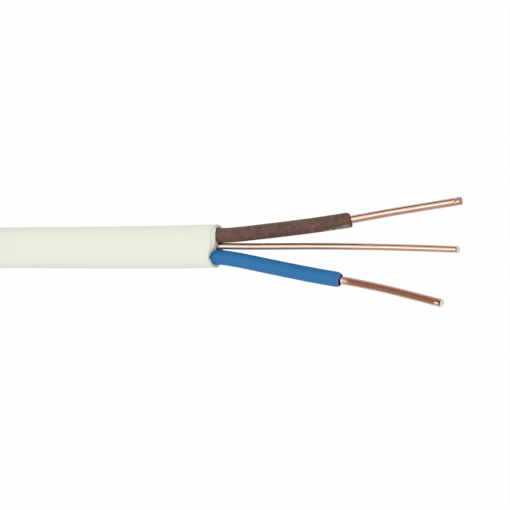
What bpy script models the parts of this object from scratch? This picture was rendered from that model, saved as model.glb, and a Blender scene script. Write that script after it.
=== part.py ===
"""A short coil of flat twin and earth cable with its outer end stripped for wiring.

The coil lies flat with its axis upright, and the cable in it stands on its narrow edge. The outer end leaves the
coil, turns a quarter turn to lie on its wide face, and ends in two insulated cores with a bare earth between them.
Metres, +Z up. The origin is on the floor, at the middle of the part's footprint.
"""

import math

import bmesh
import bpy
from mathutils import Vector

MM = 0.001

# The cable's section, from the copper outwards
conductor_diameter = 1.78 * MM
earth_diameter = 1.46 * MM
insulation_wall = 0.72 * MM
sheath_face_wall = 0.88 * MM
sheath_side_wall = 0.65 * MM
fit = 0.1 * MM

insulation_bore = conductor_diameter + 2 * fit
insulation_diameter = insulation_bore + 2 * insulation_wall
core_pitch = insulation_diameter / 2 + earth_diameter / 2 + fit
cavity_width = 2 * core_pitch + insulation_diameter + 2 * fit
cavity_thickness = insulation_diameter + 2 * fit
sheath_width = cavity_width + 2 * sheath_side_wall
sheath_thickness = cavity_thickness + 2 * sheath_face_wall

# The stripped end: how far each piece shows past the sheath's cut, and how deep they sit in the sheath
brown_insulation_length = 34.5 * MM
blue_insulation_length = 32.4 * MM
line_bare_length = 26.8 * MM
neutral_bare_length = 24.95 * MM
earth_bare_length = 59.9 * MM
seat_depth = 12.0 * MM
tip_chamfer = 0.25 * MM

# Sideways drift of each core from its place in the sheath, at distances from the cut, as the end was spread by hand
brown_spread = ((0.0, 0.0), (4.5, 0.03), (9.2, 0.4), (19.4, 1.42), (31.9, 2.88), (44.2, 4.73), (61.0, 7.02))
blue_spread = (
    (0.0, 0.0), (5.3, -0.55), (14.3, -2.15), (24.4, -3.92), (35.9, -5.71), (44.2, -7.23), (56.7, -9.98)
)
earth_spread = ((0.0, 0.0), (9.2, -0.11), (24.4, -0.1), (35.7, -0.21), (48.6, -0.49), (60.0, -0.87))

# The coil and the free run between the coil and the cut
cable_length = 5000 * MM
wraps = 4
layers = 3
winding_gap = 0.1 * MM
turns_lost_in_crossings = 0.35
lead_arc_degrees = 52.0
release_degrees = 12.0
flat_run = 72.0 * MM
twist_run = 95.0 * MM
end_swing_run = 24.0 * MM
end_swing_degrees = 1.3
ridge_flat_share = 0.5

# The ties that hold the coil
tie_width = 4.6 * MM
tie_thickness = 1.2 * MM
tie_corner_radius = 2.0 * MM
tie_head_length = 7.0 * MM
tie_head_width = 7.4 * MM
tie_head_height = 4.2 * MM
tie_stub_length = 3.0 * MM
tie_stub_height = 1.7 * MM
seat_gap = 0.3 * MM
tie_before_release_degrees = 5.0
tie_spacing_degrees = 120.0
tie_count = 3

# How finely the round and bent pieces are faceted
coil_segments = 60
route_step = 7.0 * MM
core_step = 3.2 * MM
sheath_edge_sides = 6
core_sides = 14
conductor_sides = 12
tie_corner_sides = 3
weld_distance = 0.05 * MM

wrap_pitch = sheath_thickness + winding_gap
layer_pitch = sheath_width + winding_gap
wound_length = cable_length - flat_run - twist_run - earth_bare_length
turns = wraps * layers - turns_lost_in_crossings
bore_radius = wound_length / (2 * math.pi * turns) - wraps * wrap_pitch / 2
coil_radius = bore_radius + wraps * wrap_pitch
coil_bottom = tie_thickness + seat_gap
coil_top = coil_bottom + layers * layer_pitch
lead_radius = coil_radius + seat_gap + sheath_thickness / 2
release_angle = math.radians(release_degrees)
end_swing = math.radians(end_swing_degrees)


def finish(name, colour, roughness, metallic):
    material = bpy.data.materials.new(name)
    material.use_nodes = True
    shader = material.node_tree.nodes["Principled BSDF"]
    shader.inputs["Base Color"].default_value = (*colour, 1.0)
    shader.inputs["Roughness"].default_value = roughness
    shader.inputs["Metallic"].default_value = metallic
    return material


def new_object(name, mesh_data, material):
    bmesh.ops.recalc_face_normals(mesh_data, faces=mesh_data.faces)
    mesh = bpy.data.meshes.new(name)
    mesh_data.to_mesh(mesh)
    mesh_data.free()
    mesh.shade_smooth()
    mesh.set_sharp_from_angle(angle=math.radians(40))
    mesh.materials.append(material)
    item = bpy.data.objects.new(name, mesh)
    bpy.context.scene.collection.objects.link(item)
    return item


def skin(loops, ring):
    """A closed mesh through loops of points: capped at both ends, or joined last to first where ring is true."""
    mesh_data = bmesh.new()
    rows = [[mesh_data.verts.new(point) for point in loop] for loop in loops]
    pairs = list(zip(rows, rows[1:]))
    if ring:
        pairs.append((rows[-1], rows[0]))
    for row, following in pairs:
        count = len(row)
        for i in range(count):
            j = (i + 1) % count
            mesh_data.faces.new((row[i], row[j], following[j], following[i]))
    if not ring:
        mesh_data.faces.new(rows[0])
        mesh_data.faces.new(rows[-1])
    return mesh_data


def oval(width, thickness):
    """The cable's flat section with round edges, as (across, up) points."""
    radius = thickness / 2
    reach = width / 2 - radius
    points = []
    for side in (1, -1):
        for i in range(sheath_edge_sides + 1):
            angle = math.pi * (i / sheath_edge_sides - 0.5)
            points.append((side * (reach + radius * math.cos(angle)), side * radius * math.sin(angle)))
    return points


def circle(diameter, sides):
    turn = 2 * math.pi / sides
    return [(diameter / 2 * math.cos(i * turn), diameter / 2 * math.sin(i * turn)) for i in range(sides)]


def section_at(centre, tangent, section, roll=0.0):
    """A section's points around a point of a route. At no roll its width lies level."""
    level = Vector((0, 0, 1)).cross(tangent).normalized()
    upright = tangent.cross(level).normalized()
    across = level * math.cos(roll) + upright * math.sin(roll)
    up = upright * math.cos(roll) - level * math.sin(roll)
    return [centre + across * a + up * b for a, b in section]


def eased(share):
    share = min(max(share, 0.0), 1.0)
    return share * share * (3 - 2 * share)


def tail_route():
    """The cable's route back from the cut: flat, then twisting up onto its edge, then round the coil.

    Its last stretch swings a little to one side, as cable from a coil does. Gives each station's centre, heading and
    roll, from the coil to the cut, and the coil's centre.
    """
    bend_run = 2 * release_angle * lead_radius
    straight_run = flat_run + twist_run - bend_run
    whole_run = flat_run + twist_run + math.radians(lead_arc_degrees) * lead_radius
    steps = round(whole_run / route_step)
    fine = 20
    step = whole_run / steps / fine
    place = Vector((0.0, 0.0, 0.0))
    stations = []
    for i in range(steps * fine + 1):
        run = i * step
        into_bend = run - straight_run
        if into_bend < 0:
            heading = end_swing * max(0.0, 1 - run / end_swing_run)
        elif into_bend < bend_run:
            heading = -into_bend ** 2 / (2 * bend_run * lead_radius)
        else:
            heading = -release_angle - (into_bend - bend_run) / lead_radius
        roll = math.pi / 2 * eased((run - flat_run) / twist_run)
        lift = coil_bottom * eased((run - flat_run) / twist_run)
        half_height = (sheath_width - sheath_thickness) / 2 * math.sin(roll) + sheath_thickness / 2
        tangent = Vector((math.cos(heading), math.sin(heading), 0.0))
        if i % fine == 0:
            stations.append((place + Vector((0, 0, half_height + lift)), tangent, roll))
        place = place - tangent * step
    last, tangent, roll = stations[-1]
    coil_centre = last + Vector((0, 0, 1)).cross(tangent) * lead_radius
    return stations[::-1], Vector((coil_centre.x, coil_centre.y, 0.0))


def coil_outline():
    """The wound cable's outline in (radius, height): one ridge for each wrap, one band for each layer."""
    half = wrap_pitch / 2
    edge = sheath_thickness / 2
    bevel = half * ridge_flat_share
    points = []
    for i in range(wraps):
        middle = bore_radius + (i + 0.5) * wrap_pitch
        points += [(middle - half, coil_bottom + edge), (middle - bevel, coil_bottom), (middle + bevel, coil_bottom)]
    outer_middle = coil_radius - half
    for j in range(layers):
        low = coil_bottom + j * layer_pitch
        if j > 0:
            points.append((outer_middle + bevel, low))
        points += [(coil_radius, low + edge), (coil_radius, low + layer_pitch - edge)]
    for i in reversed(range(wraps)):
        middle = bore_radius + (i + 0.5) * wrap_pitch
        points += [(middle + bevel, coil_top), (middle - bevel, coil_top), (middle - half, coil_top - edge)]
    inner_middle = bore_radius + half
    for j in reversed(range(layers)):
        low = coil_bottom + j * layer_pitch
        if j < layers - 1:
            points.append((bore_radius, low + layer_pitch - edge))
        if j > 0:
            points += [(bore_radius, low + edge), (inner_middle - bevel, low)]
    return points


def coil(centre, material):
    mesh_data = bmesh.new()
    corners = [mesh_data.verts.new(centre + Vector((r, 0, z))) for r, z in coil_outline()]
    edges = [mesh_data.edges.new((a, b)) for a, b in zip(corners, corners[1:] + corners[:1])]
    bmesh.ops.spin(
        mesh_data, geom=corners + edges, cent=centre, axis=(0, 0, 1), angle=2 * math.pi, steps=coil_segments
    )
    bmesh.ops.remove_doubles(mesh_data, verts=mesh_data.verts, dist=weld_distance)
    return new_object("coil", mesh_data, material)


def tail_sheath(stations, material):
    """The sheath from the coil to the cut, with the cavity that the cores come out of."""
    outer = oval(sheath_width, sheath_thickness)
    inner = oval(cavity_width, cavity_thickness)
    loops = [section_at(centre, tangent, outer, roll) for centre, tangent, roll in stations]
    mouth, tangent, roll = stations[-1]
    loops.append(section_at(mouth, tangent, inner, roll))
    loops.append(section_at(mouth - tangent * (seat_depth + seat_gap), tangent, inner, roll))
    return new_object("tail_sheath", skin(loops, ring=False), material)


def drift(spread, x):
    """Smooth sideways drift at distance x from the cut, through the points of a spread, straight beyond them."""
    points = [(a * MM, b * MM) for a, b in spread]
    if x <= points[0][0]:
        return points[0][1]
    slopes = [0.0]
    for before, after in zip(points, points[2:]):
        slopes.append((after[1] - before[1]) / (after[0] - before[0]))
    slopes.append((points[-1][1] - points[-2][1]) / (points[-1][0] - points[-2][0]))
    for (x0, y0), (x1, y1), s0, s1 in zip(points, points[1:], slopes, slopes[1:]):
        if x <= x1:
            span = x1 - x0
            t = (x - x0) / span
            return (
                y0 * (1 + 2 * t) * (1 - t) ** 2 + s0 * span * t * (1 - t) ** 2
                + y1 * t * t * (3 - 2 * t) - s1 * span * t * t * (1 - t)
            )
    return points[-1][1] + slopes[-1] * (x - points[-1][0])


def core_route(side, spread, start, end, rest_height, rest_at):
    """Points along a core from start to end, in distances from the cut. It comes down to rest_height by rest_at.

    Inside the sheath the core follows the sheath's own swing.
    """
    count = max(2, round((end - start) / core_step))
    points = []
    for i in range(count + 1):
        x = start + (end - start) * i / count
        sink = eased(x / rest_at)
        height = sheath_thickness / 2 * (1 - sink) + rest_height * sink
        inside = min(x, 0.0)
        swung = end_swing * inside * (1 + inside / (2 * end_swing_run))
        points.append(Vector((x, side * core_pitch + swung + drift(spread, x), height)))
    return points


def tangents(points):
    ends = [points[1] - points[0], points[-1] - points[-2]]
    middle = [after - before for before, after in zip(points, points[2:])]
    return [v.normalized() for v in (ends[0], *middle, ends[1])]


def insulation(name, route, material):
    outer = circle(insulation_diameter, core_sides)
    bore = circle(insulation_bore, core_sides)
    stations = list(zip(route, tangents(route)))
    loops = [section_at(p, t, outer) for p, t in stations]
    loops += [section_at(p, t, bore) for p, t in reversed(stations)]
    return new_object(name, skin(loops, ring=True), material)


def conductor(name, route, diameter, material):
    stations = list(zip(route, tangents(route)))
    loops = [section_at(p, t, circle(diameter, conductor_sides)) for p, t in stations[:-1]]
    tip, tangent = stations[-1]
    loops.append(section_at(tip - tangent * tip_chamfer, tangent, circle(diameter, conductor_sides)))
    loops.append(section_at(tip, tangent, circle(diameter - 2 * tip_chamfer, conductor_sides)))
    return new_object(name, skin(loops, ring=False), material)


def rounded(corners, radius, extra):
    """A convex outline, anticlockwise, with its corners rounded, moved outwards by extra."""
    points = []
    for before, corner, after in zip(corners[-1:] + corners[:-1], corners, corners[1:] + corners[:1]):
        into = Vector(corner) - Vector(before)
        away = Vector(after) - Vector(corner)
        first = Vector((into.y, -into.x)).normalized()
        second = Vector((away.y, -away.x)).normalized()
        middle = Vector(corner) - (first + second) * radius / (1 + first.dot(second))
        start = math.atan2(first.y, first.x)
        sweep = (math.atan2(second.y, second.x) - start) % (2 * math.pi)
        for i in range(tie_corner_sides + 1):
            angle = start + sweep * i / tie_corner_sides
            points.append(middle + Vector((math.cos(angle), math.sin(angle))) * (radius + extra))
    return points


def block(name, low, high, place):
    """A plain box between two corners in a tie's own (radius, along, height), for joining to the tie."""
    mesh_data = bmesh.new()
    bmesh.ops.create_cube(mesh_data, size=1.0)
    for vert in mesh_data.verts:
        share = vert.co + Vector((0.5, 0.5, 0.5))
        vert.co = place(*(a + (b - a) * s for a, b, s in zip(low, high, share)))
    item = new_object(name, mesh_data, None)
    item.hide_render = True
    item.display_type = "WIRE"
    return item


def cable_tie(name, centre, angle, holds_lead, material):
    """A strap round the coil's section, with its head on top and the cut end of the strap beyond it."""
    outward = Vector((math.cos(angle), math.sin(angle), 0))
    along = Vector((0, 0, 1)).cross(outward)

    def place(r, a, z):
        return centre + outward * r + along * a + Vector((0, 0, z))

    inside = bore_radius - seat_gap
    outside = coil_radius + seat_gap
    top = coil_top + seat_gap
    corners = [(inside, tie_thickness), (outside, tie_thickness), (outside, top), (inside, top)]
    if holds_lead:
        lead_side = lead_radius + sheath_thickness / 2 + seat_gap
        lead_top = coil_bottom + sheath_width
        corners = [corners[0], (lead_side, tie_thickness), (lead_side, lead_top), (outside, top), corners[3]]
    half = tie_width / 2
    inner = rounded(corners, tie_corner_radius, 0.0)
    outer = rounded(corners, tie_corner_radius, tie_thickness)
    loops = [
        [place(p.x, a, p.y) for p in outline]
        for outline, a in ((inner, -half), (inner, half), (outer, half), (outer, -half))
    ]
    strap = new_object(name, skin(loops, ring=True), material)

    head_start = (bore_radius + coil_radius) / 2 - tie_head_length / 2
    head_end = head_start + tie_head_length
    head_width = tie_head_width / 2
    head_floor = top + tie_thickness / 2
    head = block(
        name + "_head",
        (head_start, -head_width, head_floor),
        (head_end, head_width, head_floor + tie_head_height),
        place,
    )
    stub_floor = head_floor + tie_stub_height
    stub = block(
        name + "_stub",
        (head_end - tie_stub_length, -half, stub_floor),
        (head_end + tie_stub_length, half, stub_floor + tie_thickness),
        place,
    )
    for joined in (head, stub):
        union = strap.modifiers.new(joined.name, "BOOLEAN")
        union.operation = "UNION"
        union.object = joined
    return strap


def centre_on_floor(items):
    """Puts the origin under the middle of the part's footprint."""
    corners = [vert.co for item in items for vert in item.data.vertices]
    middle = [(min(c[i] for c in corners) + max(c[i] for c in corners)) / 2 for i in range(2)]
    for item in items:
        for vert in item.data.vertices:
            vert.co.x -= middle[0]
            vert.co.y -= middle[1]


for existing in list(bpy.data.objects):
    bpy.data.objects.remove(existing, do_unlink=True)

sheath_white = finish("sheath white", (0.82, 0.83, 0.75), 0.42, 0.0)
brown = finish("brown insulation", (0.17, 0.105, 0.085), 0.4, 0.0)
blue = finish("blue insulation", (0.04, 0.2, 0.45), 0.35, 0.0)
copper = finish("bare copper", (0.72, 0.38, 0.27), 0.25, 1.0)
tie_nylon = finish("tie nylon", (0.75, 0.75, 0.72), 0.4, 0.0)

stations, coil_centre = tail_route()
insulation_radius = insulation_diameter / 2
line_end = brown_insulation_length + line_bare_length
neutral_end = blue_insulation_length + neutral_bare_length
brown_rest = (insulation_radius, brown_insulation_length)
blue_rest = (insulation_radius, blue_insulation_length)
earth_rest = (earth_diameter / 2, earth_bare_length)

coil(coil_centre, sheath_white)
tail_sheath(stations, sheath_white)
insulation("brown_insulation", core_route(1, brown_spread, -seat_depth, brown_insulation_length, *brown_rest), brown)
insulation("blue_insulation", core_route(-1, blue_spread, -seat_depth, blue_insulation_length, *blue_rest), blue)
line_route = core_route(1, brown_spread, -seat_depth, line_end, *brown_rest)
neutral_route = core_route(-1, blue_spread, -seat_depth, neutral_end, *blue_rest)
earth_route = core_route(0, earth_spread, -seat_depth, earth_bare_length, *earth_rest)
conductor("line_conductor", line_route, conductor_diameter, copper)
conductor("neutral_conductor", neutral_route, conductor_diameter, copper)
conductor("earth_conductor", earth_route, earth_diameter, copper)

release = math.radians(-90) - release_angle
for number in range(tie_count):
    tie_angle = release - math.radians(tie_before_release_degrees + number * tie_spacing_degrees)
    cable_tie(f"cable_tie_{number + 1}", coil_centre, tie_angle, number == 0, tie_nylon)

centre_on_floor([item for item in bpy.data.objects if item.type == "MESH"])
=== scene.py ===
import math

import bmesh
import bpy
from mathutils import Matrix, Vector, noise


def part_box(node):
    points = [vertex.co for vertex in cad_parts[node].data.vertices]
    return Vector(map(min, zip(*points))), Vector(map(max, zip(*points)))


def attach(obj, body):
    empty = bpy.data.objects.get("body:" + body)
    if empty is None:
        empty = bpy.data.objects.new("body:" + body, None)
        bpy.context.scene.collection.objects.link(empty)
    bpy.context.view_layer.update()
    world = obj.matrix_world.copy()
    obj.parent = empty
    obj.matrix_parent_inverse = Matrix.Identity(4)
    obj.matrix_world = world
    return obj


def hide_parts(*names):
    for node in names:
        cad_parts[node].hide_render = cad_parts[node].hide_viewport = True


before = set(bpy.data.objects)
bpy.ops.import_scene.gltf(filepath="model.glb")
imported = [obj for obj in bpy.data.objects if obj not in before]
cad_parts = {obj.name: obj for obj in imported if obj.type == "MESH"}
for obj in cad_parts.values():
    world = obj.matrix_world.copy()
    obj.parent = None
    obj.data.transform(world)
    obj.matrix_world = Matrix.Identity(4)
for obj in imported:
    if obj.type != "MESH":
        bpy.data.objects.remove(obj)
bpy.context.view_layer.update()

# The coil: one length of flat cable, wound from the outer end of the bottom layer to the inner end of the
# top one. Its white vinyl sheath is extruded over two insulated cores and an earth. The turns lie flat face
# to flat face, and each steps over to the next in one short stretch, as on a coil wound by hand.
MM = 0.001
SHEATH_THICKNESS = 5.38 * MM
CAVITY_WIDTH = 8.7 * MM
CAVITY_THICKNESS = 3.62 * MM
WINDING_GAP = 0.1 * MM
SEAT_GAP = 0.3 * MM
WRAPS = 4
LAYERS = 3
RELEASE_DEGREES = 12.0
SEAM_DEGREES = 5.0
FIRST_STEP_DEGREES = 36.0
STEP_DEGREES = 40.0
COIL_END_DEGREES = 4190.0
COIL_STATION_DEGREES = 5.0
COIL_SLACK = 0.3 * MM
SLACK_RAMP_DEGREES = 60.0
LAYER_SLIP = 0.25 * MM
SLIP_WAVE_DEGREES = 55.0
FLAT_SHARES = (0.66, 0.33, 0.0, -0.33, -0.66)
ON_EDGE = math.pi / 2

coil_low, coil_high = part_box("coil")
coil_centre = Vector(((coil_low.x + coil_high.x) / 2, (coil_low.y + coil_high.y) / 2, 0.0))
coil_radius = (coil_high.x - coil_low.x) / 2
coil_bottom = coil_low.z
coil_top = coil_high.z
layer_pitch = (coil_top - coil_bottom) / LAYERS
wrap_pitch = SHEATH_THICKNESS + WINDING_GAP
sheath_width = layer_pitch - WINDING_GAP
bore_radius = coil_radius - WRAPS * wrap_pitch
lead_radius = coil_radius + SEAT_GAP + SHEATH_THICKNESS / 2

# Degrees wound, wrap and layer at the start of each step. An upper layer's first step goes up, not across,
# and the turns on both sides of it are shorter by a step.
coil_steps = []
step_start = FIRST_STEP_DEGREES
for layer in range(LAYERS):
    for turn in range(WRAPS):
        coil_steps.append((step_start, turn + 1 if layer % 2 else WRAPS - turn, layer))
        beside_rise = turn == WRAPS - 1 or (turn == 0 and layer > 0)
        step_start += 360 - STEP_DEGREES if beside_rise else 360


def eased(share):
    share = min(max(share, 0.0), 1.0)
    return share * share * (3 - 2 * share)


def wrap_radius(wrap):
    return coil_radius - (WRAPS - wrap + 0.5) * wrap_pitch


def coil_place(wound):
    """The cable's centre at so many degrees back from where it leaves the coil."""
    radius, layer = lead_radius, 0.0
    for start, wrap, into in coil_steps:
        share = eased((wound - start) / STEP_DEGREES)
        radius += (wrap_radius(wrap) - radius) * share
        layer += (into - layer) * share
    angle = math.radians(-90 - RELEASE_DEGREES - wound)
    outward = Vector((math.cos(angle), math.sin(angle), 0))
    height = coil_bottom + sheath_width / 2 + layer * layer_pitch
    # The upper layers slipped down unevenly, and no turn is quite a true circle.
    if layer > 0.5:
        slip = 0.5 + noise.noise(Vector((wound / SLIP_WAVE_DEGREES, radius * 900, 3.1)))
        height -= LAYER_SLIP * slip * (layer - 0.5)
    slack = 0.5 + noise.noise(outward * 1.7 + Vector((0, 0, layer)))
    radius -= COIL_SLACK * eased(wound / SLACK_RAMP_DEGREES) * slack
    return coil_centre + outward * radius + Vector((0, 0, height))


def oval(width, thickness, steps):
    """The sheath's section from the low end of its right side, anticlockwise seen against the cable's run."""
    radius = thickness / 2
    reach = width / 2 - radius
    points = []
    for side in (1, -1):
        for i in range(steps + 1):
            angle = math.pi * (i / steps - 0.5)
            points.append((side * (reach + radius * math.cos(angle)), side * radius * math.sin(angle)))
        for share in FLAT_SHARES:
            points.append((side * reach * share, side * radius))
    return points


def section_at(place, heading, section, roll):
    level = Vector((0, 0, 1)).cross(heading).normalized()
    upright = heading.cross(level).normalized()
    across = level * math.cos(roll) + upright * math.sin(roll)
    up = upright * math.cos(roll) - level * math.sin(roll)
    return [place + across * a + up * b for a, b in section]


def new_object(name, data):
    made = bpy.data.objects.new(name, data)
    bpy.context.scene.collection.objects.link(made)
    return made


def swept(name, loops, lengths):
    """A mesh through loops of points, closed at both ends, its UV map in metres along and a share around."""
    shape = bmesh.new()
    rows = [[shape.verts.new(point) for point in loop] for loop in loops]
    around = shape.loops.layers.uv.new("along")
    count = len(rows[0])
    for low, high, start, end in zip(rows, rows[1:], lengths, lengths[1:]):
        for i in range(count):
            j = (i + 1) % count
            face = shape.faces.new((low[i], low[j], high[j], high[i]))
            for corner, (u, v) in zip(face.loops, ((start, i), (start, i + 1), (end, i + 1), (end, i))):
                corner[around].uv = (u, v / count)
    shape.faces.new(list(reversed(rows[0])))
    shape.faces.new(rows[-1])
    bmesh.ops.recalc_face_normals(shape, faces=shape.faces)
    mesh = bpy.data.meshes.new(name)
    shape.to_mesh(mesh)
    shape.free()
    mesh.shade_smooth()
    mesh.set_sharp_from_angle(angle=math.radians(50))
    return new_object(name, mesh)


def run_lengths(places):
    total, lengths = 0.0, [0.0]
    for before, after in zip(places, places[1:]):
        total += (after - before).length
        lengths.append(total)
    return lengths


END_RECESS = 1.2 * MM
END_EDGE = 0.25 * MM
COIL_ROUND_STEPS = 8
wound_degrees = COIL_END_DEGREES - SEAM_DEGREES
coil_stations = round(wound_degrees / COIL_STATION_DEGREES)
coil_line = [
    coil_place(SEAM_DEGREES + wound_degrees * i / coil_stations) for i in range(coil_stations, -1, -1)
]
coil_section = oval(sheath_width, SHEATH_THICKNESS, COIL_ROUND_STEPS)
cavity_section = oval(CAVITY_WIDTH, CAVITY_THICKNESS, COIL_ROUND_STEPS)
edge_section = oval(sheath_width - 2 * END_EDGE, SHEATH_THICKNESS - 2 * END_EDGE, COIL_ROUND_STEPS)

# The inner end's loops: the cavity's floor, its mouth, the rounded edge of the wall and the skin.
inner_heading = (coil_line[1] - coil_line[0]).normalized()
inner_rim = (
    (END_RECESS, cavity_section), (0.0, cavity_section), (0.0, edge_section), (END_EDGE, coil_section)
)
coil_loops = [
    section_at(coil_line[0] + inner_heading * inward, inner_heading, section, ON_EDGE)
    for inward, section in inner_rim
]
for before, place, after in zip(coil_line, coil_line[1:], coil_line[2:] + coil_line[-1:]):
    coil_loops.append(section_at(place, (after - before).normalized(), coil_section, ON_EDGE))
coil_spans = [-3 * END_EDGE, -2 * END_EDGE, -END_EDGE] + run_lengths(coil_line)
coil = swept("wound_cable", coil_loops, coil_spans)


def new_node(tree, kind, inputs=(), **settings):
    """A shader node with its settings, its inputs given values or linked from other nodes' outputs."""
    node = tree.nodes.new(f"ShaderNode{kind}")
    for name, value in settings.items():
        setattr(node, name, value)
    for name, value in dict(inputs).items():
        if isinstance(value, bpy.types.NodeSocket):
            tree.links.new(value, node.inputs[name])
        else:
            node.inputs[name].default_value = value
    return node


def noise_field(tree, vector, scale, detail, roughness=0.5):
    inputs = {"Vector": vector, "Scale": scale, "Detail": detail, "Roughness": roughness}
    return new_node(tree, "TexNoise", inputs).outputs["Fac"]


def ranged(tree, value, low, high, to_low=0.0, to_high=1.0, **settings):
    inputs = {"Value": value, "From Min": low, "From Max": high, "To Min": to_low, "To Max": to_high}
    return new_node(tree, "MapRange", inputs, **settings).outputs["Result"]


def calculated(tree, operation, *terms, **settings):
    return new_node(tree, "Math", enumerate(terms), operation=operation, **settings).outputs["Value"]


def blend(tree, share, first, second):
    inputs = {"Factor": share, "A": first, "B": second}
    return new_node(tree, "Mix", inputs, data_type="RGBA").outputs["Result"]


def group_of(name, **inputs):
    """A shader group with inputs of the kinds named, that puts out a colour, a roughness and a normal."""
    group = bpy.data.node_groups.new(name, "ShaderNodeTree")
    outputs = {"Color": "Color", "Roughness": "Float", "Normal": "Vector"}
    for way, sockets in (("INPUT", inputs), ("OUTPUT", outputs)):
        for label, kind in sockets.items():
            group.interface.new_socket(name=label, in_out=way, socket_type=f"NodeSocket{kind}")
    return group, group.nodes.new("NodeGroupInput").outputs


def put_out(group, colour, roughness, height, strength, distance):
    """Gives a shader group's outputs their colour, their roughness and the normal of a bump."""
    bump = new_node(group, "Bump", {"Height": height, "Strength": strength, "Distance": distance})
    made = group.nodes.new("NodeGroupOutput")
    for label, output in (("Color", colour), ("Roughness", roughness), ("Normal", bump.outputs["Normal"])):
        group.links.new(output, made.inputs[label])


def extruded_vinyl():
    """A shader group for extruded vinyl: soft blotches, fine lines along it, a mottle and small scuffs."""
    group, given = group_of(
        "extruded vinyl", Vector="Vector", Base="Color", Blotch="Color", Scuff="Color", Scuffing="Float",
        Mottle="Float", Dullness="Float", Relief="Float",
    )
    place = given["Vector"]
    stretched = new_node(group, "Mapping", {"Vector": place, "Scale": (25.0, 900.0, 900.0)}).outputs["Vector"]
    blotches = noise_field(group, place, 110.0, 3.0)
    lines = noise_field(group, stretched, 1.0, 3.0)
    mottle = noise_field(group, place, 620.0, 4.0, 0.7)
    specks = noise_field(group, place, 1500.0, 5.0, 0.65)

    blotched = blend(group, ranged(group, blotches, 0.35, 0.68), given["Base"], given["Blotch"])
    mottling = calculated(group, "MULTIPLY", ranged(group, mottle, 0.4, 0.66), given["Mottle"])
    mottled = blend(group, mottling, blotched, given["Blotch"])
    scuffing = calculated(group, "MULTIPLY", ranged(group, specks, 0.54, 0.72), given["Scuffing"])
    scuffed = blend(group, scuffing, mottled, given["Scuff"])
    rough = calculated(group, "MULTIPLY_ADD", specks, 0.2, given["Dullness"])
    relief = calculated(group, "ADD", lines, mottle)
    put_out(group, scuffed, rough, relief, given["Relief"], 0.12 * MM)
    return group


def new_material(name):
    material = bpy.data.materials.new(name)
    material.use_nodes = True
    return material, material.node_tree, material.node_tree.nodes["Principled BSDF"]


def surfaced(name, group, values, girth=None):
    """A material with a shader group's colour, roughness and normal, placed by Object coordinates or the map.

    In the map, metres along stay metres, and one turn round becomes the section's girth.
    """
    material, tree, shader = new_material(name)
    if girth:
        place = new_node(tree, "UVMap", uv_map="along").outputs["UV"]
        place = new_node(tree, "Mapping", {"Vector": place, "Scale": (1.0, girth, 1.0)}).outputs["Vector"]
    else:
        place = new_node(tree, "TexCoord").outputs["Object"]
    surface = new_node(tree, "Group", {"Vector": place, **values}, node_tree=group)
    for output, socket in (("Color", "Base Color"), ("Roughness", "Roughness"), ("Normal", "Normal")):
        tree.links.new(surface.outputs[output], shader.inputs[socket])
    return material, shader


def opaque(colour):
    return (*colour, 1.0)


vinyl = extruded_vinyl()


def vinyl_material(name, colours, values, specular, girth=None):
    """Vinyl in its base, blotch and scuff colours, with its scuffing, mottle, dullness and relief."""
    labels = ("Base", "Blotch", "Scuff", "Scuffing", "Mottle", "Dullness", "Relief")
    values = dict(zip(labels, (*map(opaque, colours), *values)))
    material, shader = surfaced(name, vinyl, values, girth)
    shader.inputs["Specular IOR Level"].default_value = specular
    return material


SHEATH_COLOURS = ((0.80, 0.815, 0.712), (0.785, 0.80, 0.70), (0.70, 0.71, 0.64))
sheath_girth = 2 * (sheath_width - SHEATH_THICKNESS) + math.pi * SHEATH_THICKNESS
sheath_vinyl = vinyl_material("sheath vinyl", SHEATH_COLOURS, (0.12, 0.15, 0.4, 0.05), 0.35, sheath_girth)
coil.data.materials.append(sheath_vinyl)
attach(coil, "root")
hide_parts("coil")

# The ties: three nylon cable ties, moulded in one piece each and pulled tight round the coil with their heads
# on top. The strap has a raised rim along each edge and passes through the head over its own root. It was cut
# off just past the head, so a short stub shows with the teeth on its underside.
TIE_WIDTH = 4.6 * MM
TIE_THICKNESS = 1.2 * MM
TIE_CORNER = 2.0 * MM
TIE_RIM = 0.55 * MM
TIE_CHANNEL = 0.14 * MM
TIE_ROUNDING = 0.25 * MM
TIE_CORNER_STEPS = 6
HEAD_LENGTH = 7.0 * MM
HEAD_WIDTH = 7.4 * MM
HEAD_HEIGHT = 4.2 * MM
HEAD_ROUNDING = 0.55 * MM
HEAD_TAPER = (0.9, 0.88, 1.0)
SLOT_DEPTH = 1.6 * MM
SLOT_ROOM_ABOVE = 0.35 * MM
SLOT_ROOM_BESIDE = 0.3 * MM
WINDOW_BACK = 1.9 * MM
WINDOW_FRONT = 1.3 * MM
WINDOW_HALF_WIDTH = 1.5 * MM
WINDOW_DEPTH = 0.9 * MM
PAWL_RISE = 0.55 * MM
STUB_LENGTH = 3.0 * MM
STUB_HEIGHT = 1.7 * MM
STUB_SKEW = 0.35 * MM
TOOTH_PITCH = 0.6 * MM
TOOTH_DEPTH = 0.32 * MM
TIE_BEFORE_RELEASE_DEGREES = 5.0
TIE_SPACING_DEGREES = 120.0
TIE_COUNT = 3
NEAR = 0.1 * MM
SAME_PLACE = 0.01 * MM
strap_floor = coil_top + SEAT_GAP
head_floor = strap_floor + TIE_THICKNESS / 2
head_middle = (bore_radius + coil_radius) / 2


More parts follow.
